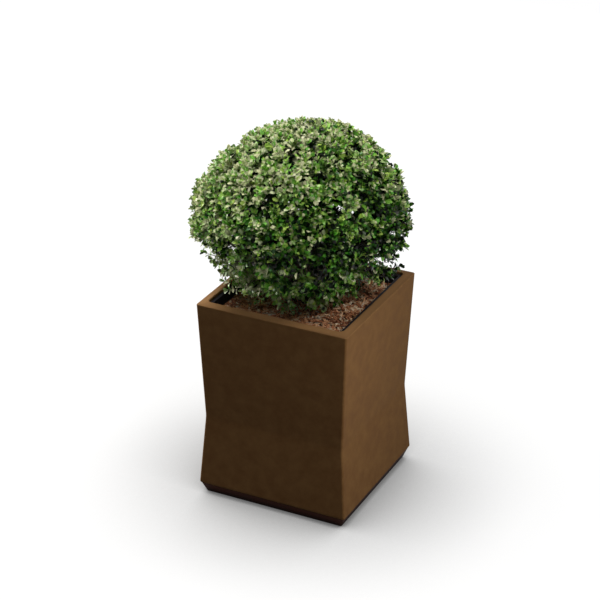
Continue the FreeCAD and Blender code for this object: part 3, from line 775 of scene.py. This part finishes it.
def make_soil():
    """Soil that fills the liner, with a round well in its top that the root ball stands in."""
    bm = bmesh.new()
    low, high = 233, 256
    stations = [(150, 60, SOIL_FLOOR), (low - 3, 6, SOIL_FLOOR), (low + 0.6, 7, 394)]
    stations += [(low + (high - low) * step / 8, 7, 394 + 353 * step / 8) for step in range(1, 9)]
    stations += [(high - 4, 6, 748.5), (180, 90, 748.5), (142, 142, 748.5), (141, 141, 744)]
    stations += [(141, 141, 684), (141, 141, 604), (141, 141, 524)]
    stations += [(140.8, 140.8, SOIL_WELL), (70, 70, SOIL_WELL)]
    ring_skin(bm, stations)
    close_at(bm, SOIL_WELL)
    close_at(bm, SOIL_FLOOR)
    tones = ((0.3, "#140d08"), (0.6, "#2c1d12"), (0.85, "#523a26"))
    soil = crumbly("peat_free_potting_soil", tones, 4, 0.97, 2)
    filling("potting_soil", bm, 14, 2.2, "soil", soil, "soil")

    bm = bmesh.new()
    stations = [(60, 60, ROOTS_FLOOR), (128, 128, ROOTS_FLOOR), (138, 138, 518)]
    stations += [(139.5, 139.5, height) for height in (564, 614, 664, 714)]
    ring_skin(bm, stations + [(138, 138, 742), (128, 128, 748.5), (60, 60, ROOTS_TOP)])
    close_at(bm, ROOTS_FLOOR)
    close_at(bm, ROOTS_TOP)
    tones = ((0.3, "#2a1d12"), (0.55, "#5d4630"), (0.8, "#a58b66"))
    roots = crumbly("matted_roots", tones, 3, 0.95, 1.5)
    filling("root_mat", bm, 9, 4, "roots", roots, "root_ball")


def make_fleece():
    """A square of fleece laid over the liner's floor and its drain holes, a little wavy."""
    side, level, wave = 0.469, 0.38925, 0.0002
    bm = bmesh.new()
    bmesh.ops.create_grid(bm, x_segments=60, y_segments=60, size=side / 2)
    for vert in bm.verts:
        vert.co.z = level + wave * noise.noise(vert.co / 0.03)
    fleece = new_piece("drain_fleece", mesh_of("drain_fleece", bm))
    felt = fleece.modifiers.new("thickness", "SOLIDIFY")
    felt.thickness = 1.4 * MM
    felt.offset = 0
    finish_piece(fleece, "planted_liner", "fleece", felted_fleece(), "liner_fleece")


# Shrub: measures in millimetres. The crown stands a little left of the planter's middle.
CROWN_MIDDLE = 1159.5
CROWN_HALF_WIDTH, CROWN_HALF_HEIGHT = 425, 325
CROWN_LEAN = -20
OUTER_TRIES, INNER_TRIES, LOW_TRIES = 2300, 1700, 930
SPRIG_MESHES = 9
SPRIG_LENGTH = 62
# Half widths of a leaf at five points along it, in shares of the widest
LEAF_OUTLINE = (0.0, 0.62, 1.0, 0.92, 0.0)
# Low shoots keep clear of the shell: below the height, they stay within the half width
RIM_CLEAR_HEIGHT, RIM_CLEAR_HALF = 852, 226
STEMS, BRANCHES = 22, 190
STEM_FOOT = 748
STEM_SPREAD = 446
STEM_TURN = 2.399


def crown_point(turn, rise):
    """A point of the clipped outline: an egg with its wide end down, a little lumpy."""
    lumps = math.sin(3 * turn + 1) * math.cos(2 * rise) + math.sin(5 * turn) * math.sin(3 * rise) / 2
    swell = 1 - 0.022 * lumps * math.cos(rise)
    reach = CROWN_HALF_WIDTH * math.cos(rise) ** 0.92 * swell * (1 - 0.16 * math.sin(rise))
    lean = CROWN_LEAN + 25 * max(0, math.sin(rise)) ** 2
    flat = Vector((reach * math.cos(turn), reach * math.sin(turn), 0)) + TO_RIGHT * lean
    return flat + Vector((0, 0, CROWN_MIDDLE + CROWN_HALF_HEIGHT * math.sin(rise)))


def spread(count):
    """Even directions over a sphere as (turn, rise) pairs."""
    for index in range(count):
        yield index * math.pi * (3 - math.sqrt(5)), math.asin(1 - 2 * (index + 0.5) / count)


def jittered(direction, amount):
    """A direction, changed by chance, of length 1."""
    return (direction + Vector([random.gauss(0, amount) for _ in range(3)])).normalized()


def add_leaf(bm, place, length, column, row):
    """A blunt oval leaf, folded a little along its midrib and curled at its tip."""
    width = length * random.uniform(0.5, 0.62)
    fold, curl = random.uniform(0.1, 0.5), random.uniform(0.0, 0.25)
    verts = bmesh.ops.create_grid(bm, x_segments=2, y_segments=4, size=0.5)["verts"]
    faces = {f for v in verts for f in v.link_faces}
    spots = {v: (v.co.x + 0.5, v.co.y + 0.5) for v in verts}
    map_square(bm, faces, column, row, lambda v: spots[v])
    for vert, (across, along) in spots.items():
        side = (across - 0.5) * 2
        half = LEAF_OUTLINE[round(along * 4)] * width / 2
        lift = fold * abs(side) * half - curl * length * along * along
        vert.co = place @ Vector((side * half, along * length, lift))
    tips = [v for v, (_, along) in spots.items() if along in (0.0, 1.0)]
    bmesh.ops.remove_doubles(bm, verts=tips, dist=1e-6)


def sprig_mesh(name, tone, finish):
    """A shoot with crossed pairs of leaves and a rosette at its tip, along +Z from the origin."""
    bm = charted_bmesh()
    long = random.uniform(42, 56) * MM
    stalk = bmesh.ops.create_cone(
        bm,
        segments=3,
        radius1=1.3 * MM,
        radius2=0.7 * MM,
        depth=long,
        matrix=Matrix.Translation((0, 0, long / 2)),
    )["verts"]
    map_square(bm, {f for v in stalk for f in v.link_faces}, 0, 0, lambda v: (0.5, v.co.z / long))
    pairs = random.choice((4, 5, 5))
    start = random.uniform(0, math.pi)
    leaves = []
    for pair in range(pairs):
        share = pair / (pairs - 1)
        height = long * (0.18 + 0.74 * share)
        for side in (0, math.pi):
            turn = start + pair * math.pi / 2 + side + random.gauss(0, 0.2)
            length = random.uniform(25, 33) * (1 - 0.12 * share)
            leaves.append((height, turn, 1.25 - 0.5 * share, length))
    for corner in range(4):
        turn = start + 0.4 + corner * math.pi / 2 + random.gauss(0, 0.25)
        leaves.append((long, turn, random.uniform(0.35, 0.6), random.uniform(15, 23)))
    for height, turn, lean, length in leaves:
        place = (
            Matrix.Translation((0, 0, height))
            @ Matrix.Rotation(turn, 4, "Z")
            @ Matrix.Rotation(math.pi / 2 - lean - random.gauss(0, 0.14), 4, "X")
            @ Matrix.Rotation(random.gauss(0, 0.3), 4, "Y")
        )
        row = min(max(tone + round(random.gauss(0, 2.4)), 0), CHART - 1)
        column = random.randrange(1, CHART)
        add_leaf(bm, place, length * MM, column, row)
    for face in bm.faces:
        face.smooth = True
    return kept_mesh(name, bm, finish)


def outer_shoots():
    """Shoots just under the clipped outline, as (foot, direction, size, tone).

    They stand in clumps with gaps between, more open towards the crown's lower sides. Their tone is painted
    light and shade: lighter above, on the left, where the light comes from, and low at the sides, darker on
    the side towards the viewer and deep in a clump, with some tone at random."""
    shoots = []
    for turn, rise in spread(OUTER_TRIES):
        turn += random.gauss(0, 0.03)
        skin = crown_point(turn, rise)
        outward = Vector((
            math.cos(turn) * math.cos(rise) / CROWN_HALF_WIDTH,
            math.sin(turn) * math.cos(rise) / CROWN_HALF_WIDTH,
            math.sin(rise) / CROWN_HALF_HEIGHT,
        )).normalized()
        right = skin.dot(TO_RIGHT) / CROWN_HALF_WIDTH
        low = min(max((1090 - skin.z) / 110, 0), 1)
        gap = noise.noise(skin / 55 + Vector((9, 4, 2)))
        gap += 0.14 * right + low * (0.12 + 0.5 * abs(right))
        keep = 0.98 - low * (0.38 + 0.5 * abs(right) + 0.25 * (skin.dot(TO_VIEWER) < 0))
        if gap > 0.27:
            keep *= 0.06
        if random.random() > keep:
            continue
        clump = noise.noise(skin / 60)
        depth = max(0, 10 - 34 * clump + random.gauss(0, 10))
        direction = jittered(outward + Vector((0, 0, 0.45)), 0.36)
        size = random.uniform(0.85, 1.12)
        foot = skin - outward * (depth + 18) - direction * SPRIG_LENGTH * size
        # Painted light and shade: lighter upwards, to the left and low at the sides, darker towards the
        # viewer and deep in a clump.
        tone = 5.2 + 2.1 * outward.z - 2.2 * right + 2.8 * low * abs(right)
        tone -= 2.3 * max(0, outward.dot(TO_VIEWER))
        tone += 0.9 * clump - depth * 0.05 + random.gauss(0, 1.2)
        shoots.append((foot, direction, size, round(tone)))
    return shoots


def inner_shoots():
    """Shoots inside the crown, which close the view through it; their leaves take the darkest tones, a
    painted shade of the crown's inside.
    """
    shoots = []
    middle = Vector((0, 0, CROWN_MIDDLE)) + TO_RIGHT * CROWN_LEAN
    for turn, rise in spread(INNER_TRIES):
        skin = crown_point(turn, rise)
        if random.random() > (0.95 if skin.z > 1050 else 0.02):
            continue
        foot = middle + (skin - middle) * random.uniform(0.55, 0.76)
        direction = jittered((skin - middle).normalized(), 0.5)
        # The darkest rows of the chart: painted shade.
        shoots.append((foot, direction, random.uniform(0.8, 1.1), round(random.gauss(-0.4, 0.8))))
    return shoots


def low_shoots():
    """Shoots round the stems, from the bark up to the crown, thinner and farther out at the back; their
    tone is painted light, lighter on the left and towards the viewer.
    """
    shoots = []
    for _ in range(LOW_TRIES):
        side, ahead = random.uniform(-320, 310), random.uniform(-345, 165)
        height = random.uniform(815, 895 + 0.25 * max(abs(side), -ahead))
        reach = (325, 157 - 0.18 * side) if ahead > -130 else (265, 330)
        if (side / reach[0]) ** 2 + (ahead / reach[1]) ** 2 > 1:
            continue
        foot = TO_RIGHT * side + TO_VIEWER * ahead + Vector((0, 0, height))
        outward = TO_RIGHT * side / 300 + TO_VIEWER * ahead / 260
        direction = jittered(outward + Vector((0, 0, 0.25)), 0.4)
        ends = (foot, foot + direction * SPRIG_LENGTH)
        lowest = min(end.z for end in ends)
        farthest = max(max(abs(end.x), abs(end.y)) for end in ends)
        if lowest < RIM_CLEAR_HEIGHT and farthest > RIM_CLEAR_HALF:
            continue
        # Painted light: lighter on the left and towards the viewer, with some tone at random.
        tone = 6.2 - side / 48 + max(ahead, -130) / 160 + random.gauss(0, 1.3)
        shoots.append((foot, direction, random.uniform(0.7, 1.0), round(tone)))
    return shoots


def make_crown():
    """The leaves, in four pieces of like size, and the shoots that they stand on."""
    leaves = leaf_finish()
    sprigs = [
        [sprig_mesh(f"sprig_{tone}_{number}", tone, leaves) for number in range(SPRIG_MESHES)]
        for tone in range(CHART)
    ]
    shoots = outer_shoots() + inner_shoots() + low_shoots()
    placed = []
    for foot, direction, size, tone in shoots:
        turn = direction.to_track_quat("Z", "Y").to_matrix().to_4x4()
        turn = turn @ Matrix.Rotation(random.uniform(0, 6.28), 4, "Z")
        sprig = random.choice(sprigs[min(max(tone, 0), CHART - 1)])
        placed.append((sprig, Matrix.Translation(foot * MM) @ turn @ Matrix.Scale(size, 4)))
    names = ("leaves_top", "leaves_upper", "leaves_lower", "leaves_under")
    share = math.ceil(len(placed) / len(names))
    for part, name in enumerate(names):
        piece = joined(name, placed[part * share : (part + 1) * share], leaves)
        finish_piece(piece, "planted_liner", "leaves", leaves, "foliage_crown")
    return shoots


def add_stem(data, points, thick, thin, steps=4):
    """One woody stem: a smooth curve along a few points, thinner at its end."""
    spline = data.splines.new("NURBS")
    spline.points.add(len(points) - 1)
    for index, (place, point) in enumerate(zip(points, spline.points)):
        point.co = (*(place * MM), 1)
        point.radius = thick + (thin - thick) * index / (len(points) - 1)
    spline.order_u = 3
    spline.use_endpoint_u = True
    spline.resolution_u = steps


def make_stems(shoots):
    """Main stems from the root ball, branches to the crown's inside, and a twig to each shoot."""
    wood = twig_finish()
    curves = {}
    for name, sides in (("stem_wood", 2), ("branch_wood", 1), ("twig_wood", 0)):
        data = bpy.data.curves.new(name, "CURVE")
        data.dimensions = "3D"
        data.bevel_depth = MM
        data.bevel_resolution = sides
        data.use_fill_caps = True
        curves[name] = data
    lean = TO_RIGHT * CROWN_LEAN
    stems = []
    for index in range(STEMS):
        turn = index * STEM_TURN + random.gauss(0, 0.15)
        foot_reach = 12 + 26 * (index % 3) / 2
        reach = random.uniform(0.25, 0.8) * STEM_SPREAD if index else 30
        out = Vector((math.cos(turn), math.sin(turn), 0))
        top = random.uniform(1250, 1330) - 0.6 * reach
        points = []
        for step in range(6):
            along = step / 5
            flat = out * (foot_reach + (reach - foot_reach) * along**1.35) + lean * along
            wobble = Vector((random.gauss(0, 7), random.gauss(0, 7), 0)) * (step > 0)
            points.append(flat + wobble + Vector((0, 0, STEM_FOOT + (top - STEM_FOOT) * along)))
        stems.append(points)
        add_stem(curves["stem_wood"], points, random.uniform(4.5, 7), 2.4)
    joints = [point for points in stems for point in points[1:]]
    hubs = [point for points in stems for point in points[2:]]
    middle = Vector((0, 0, CROWN_MIDDLE)) + lean
    for turn, rise in spread(BRANCHES):
        hub = middle + (crown_point(turn, rise) - middle) * random.uniform(0.66, 0.78)
        below = [p for p in joints if p.z < hub.z - 25] or joints
        root = min(below, key=lambda p: (p - hub).length + 0.5 * abs(hub.z - p.z))
        bent = (root + hub) / 2 + Vector((random.gauss(0, 12), random.gauss(0, 12), -18))
        add_stem(curves["branch_wood"], [root, bent, hub], 2.6, 1.5)
        hubs += [hub, bent]
    for foot, direction, *_ in shoots:
        near = min(hubs, key=lambda p: (p - foot).length_squared + (0 if p.z < foot.z else 900))
        bent = (near + foot) / 2 - direction * 8 + Vector((0, 0, -5))
        add_stem(curves["twig_wood"], [near, bent, foot, foot + direction * 4], 1.3, 1.0, 2)
    for name, data in curves.items():
        finish_piece(new_piece(name, data), "planted_liner", "stems", wood, "shrub_stems")


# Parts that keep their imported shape
def dress_nodes():
    """Give the plinth, screws, feet, drain and liner their finishes."""
    # Each plastic: dark and light pigment, roughness, grain and blotch in millimetres, stipple, gloss
    # The plinth's near-black red-brown is partly its own dark plastic and partly painted shade, as its
    # sloping face looks down at the floor.
    dark = moulded_plastic(
        "injection_moulded_polypropylene", "#30130b", "#3f1e13", 0.6, 0.9, 60, 0.15, 0.05
    )
    liner = moulded_plastic("thermoformed_hdpe", "#141215", "#1d1a1e", 0.7, 2.2, 90, 0.2, 0.15)
    nylon = moulded_plastic("moulded_nylon", "#161616", "#242424", 0.5, 0.6, 12, 0.15)
    fitting = moulded_plastic("glass_filled_polypropylene", "#1d1d20", "#2c2c30", 0.42, 0.7, 14, 0.18)
    rubber = moulded_plastic("epdm_rubber", "#101011", "#1d1d1e", 0.8, 0.5, 9, 0.3)
    zinc = worked_metal("zinc_plated_steel", ("#b4b6b8", "#d0d2d4"), 0.34, 0.5)
    brass = worked_metal("machined_brass", ("#b08a45", "#caa661"), 0.3, 0.5)
    make_flare(dark)
    finishes = {
        "base_plinth": dark,
        "liner": liner,
        "plinth_screws": zinc,
        "foot_inserts": brass,
        "drain_bushing": fitting,
        "drain_locknut": fitting,
        "drain_plug": fitting,
        "drain_gasket": rubber,
    }
    for number in range(1, 5):
        finishes[f"foot_pad_{number}"] = nylon
        finishes[f"foot_stud_{number}"] = zinc
    for name, material in finishes.items():
        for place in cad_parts[name].material_slots:
            place.material = material


set_camera()
set_light()
set_floor()
dress_nodes()
make_shell()
make_bark()
make_soil()
make_fleece()
make_stems(make_crown())
